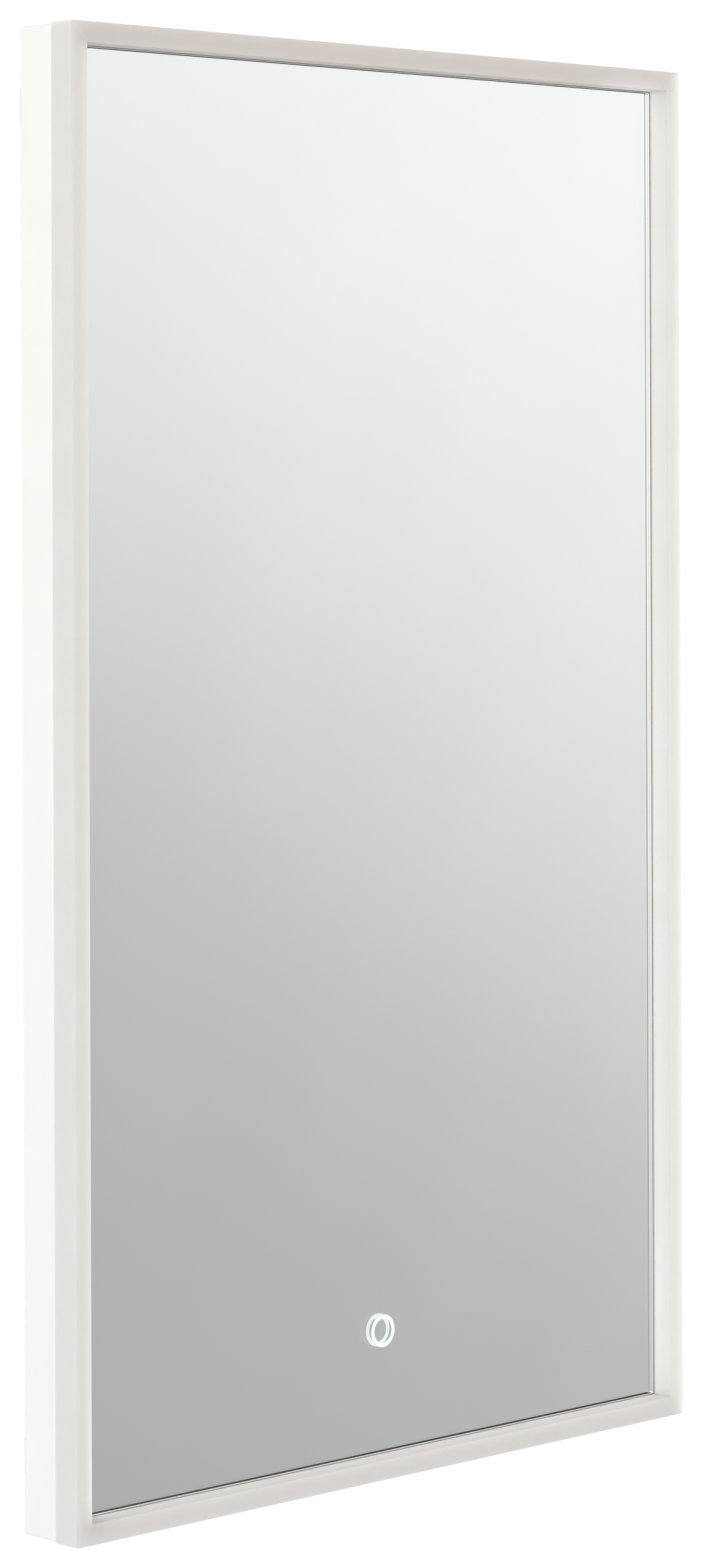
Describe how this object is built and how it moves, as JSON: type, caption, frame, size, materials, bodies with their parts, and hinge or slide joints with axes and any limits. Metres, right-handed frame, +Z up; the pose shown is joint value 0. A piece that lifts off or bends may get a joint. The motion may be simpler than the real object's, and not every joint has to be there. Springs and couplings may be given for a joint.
{
  "type": "illuminated bathroom mirror",
  "caption": "Portrait wall mirror with a frosted acrylic light frame, recessed silvered pane, touch ring, white chassis and a hook rail it lifts off.",
  "frame": {"origin": "on the wall plane, midway between the two screw slots of the wall rail", "axes": "+X to the viewer's right, +Y into the wall, +Z up"},
  "size_m": [0.6, 0.0545, 1],
  "materials": {
    "frosted_acrylic": "satin frosted, milky",
    "white_coat": "aluminium with a white satin powder coat",
    "clear_glass": "clear float glass, eased edges",
    "silver": "silvered, with a paint backing",
    "ring_white": "white printed ring",
    "foam_tape": "double-sided foam",
    "safety_film": "film",
    "galvanised_sheet": "galvanised steel sheet",
    "zinc_screw": "zinc-plated steel",
    "rivet_aluminium": "bare aluminium",
    "black_rubber": "matt rubber",
    "terminal_plastic": "moulded polyamide",
    "clamp_brass": "brass screws",
    "driver_plastic": "moulded white plastic",
    "driver_parts": "wound and moulded parts",
    "green_board": "glass-fibre board with green lacquer",
    "strip_board": "white flexible board",
    "led_phosphor": "yellow phosphor under clear resin",
    "core_insulation": "insulated single core",
    "lead_sheath": "white sheathed lead",
    "clip_nylon": "natural nylon",
    "sensor_plastic": "moulded black plastic"
  },
  "bodies": {
    "wall_mount": {"wall_rail": "galvanised_sheet"},
    "mirror": {"back_plate": "galvanised_sheet", "back_plate_screws": "zinc_screw", "bracket_rivets": "rivet_aluminium", "cable_grommet": "black_rubber", "chassis_rail_bottom": "white_coat", "chassis_rail_left": "white_coat", "chassis_rail_right": "white_coat", "chassis_rail_top": "white_coat", "corner_key_1": "galvanised_sheet", "corner_key_2": "galvanised_sheet", "corner_key_3": "galvanised_sheet", "corner_key_4": "galvanised_sheet", "corner_key_screws": "zinc_screw", "diffuser_bar_bottom": "frosted_acrylic", "diffuser_bar_left": "frosted_acrylic", "diffuser_bar_right": "frosted_acrylic", "diffuser_bar_top": "frosted_acrylic", "driver_board": "green_board", "driver_case": "driver_plastic", "driver_lid": "driver_plastic", "driver_parts": "driver_parts", "driver_screws": "zinc_screw", "hanger_rail": "galvanised_sheet", "hanger_rivets": "rivet_aluminium", "lead_clips": "clip_nylon", "led_chips": "led_phosphor", "led_lead": "lead_sheath", "led_strip_bottom": "strip_board", "led_strip_left": "strip_board", "led_strip_right": "strip_board", "led_strip_top": "strip_board", "mirror_glass": "clear_glass", "mirror_tape_bottom": "foam_tape", "mirror_tape_left": "foam_tape", "mirror_tape_right": "foam_tape", "mirror_tape_top": "foam_tape", "safety_film": "safety_film", "service_cover": "galvanised_sheet", "service_cover_screws": "zinc_screw", "silver_coat": "silver", "strip_jumpers": "lead_sheath", "supply_wires": "core_insulation", "terminal_block": "terminal_plastic", "terminal_bracket": "galvanised_sheet", "terminal_clamp_screws": "clamp_brass", "terminal_fixings": "zinc_screw", "touch_lead": "lead_sheath", "touch_ring": "ring_white", "touch_sensor_board": "green_board", "touch_sensor_case": "sensor_plastic", "wall_pads": "black_rubber"}
  },
  "joints": [
    {"name": "lift_off", "type": "slide", "parent": "wall_mount", "child": "mirror", "axis": [0, 0, 1], "range_m": [0, 0.014]}
  ]
}
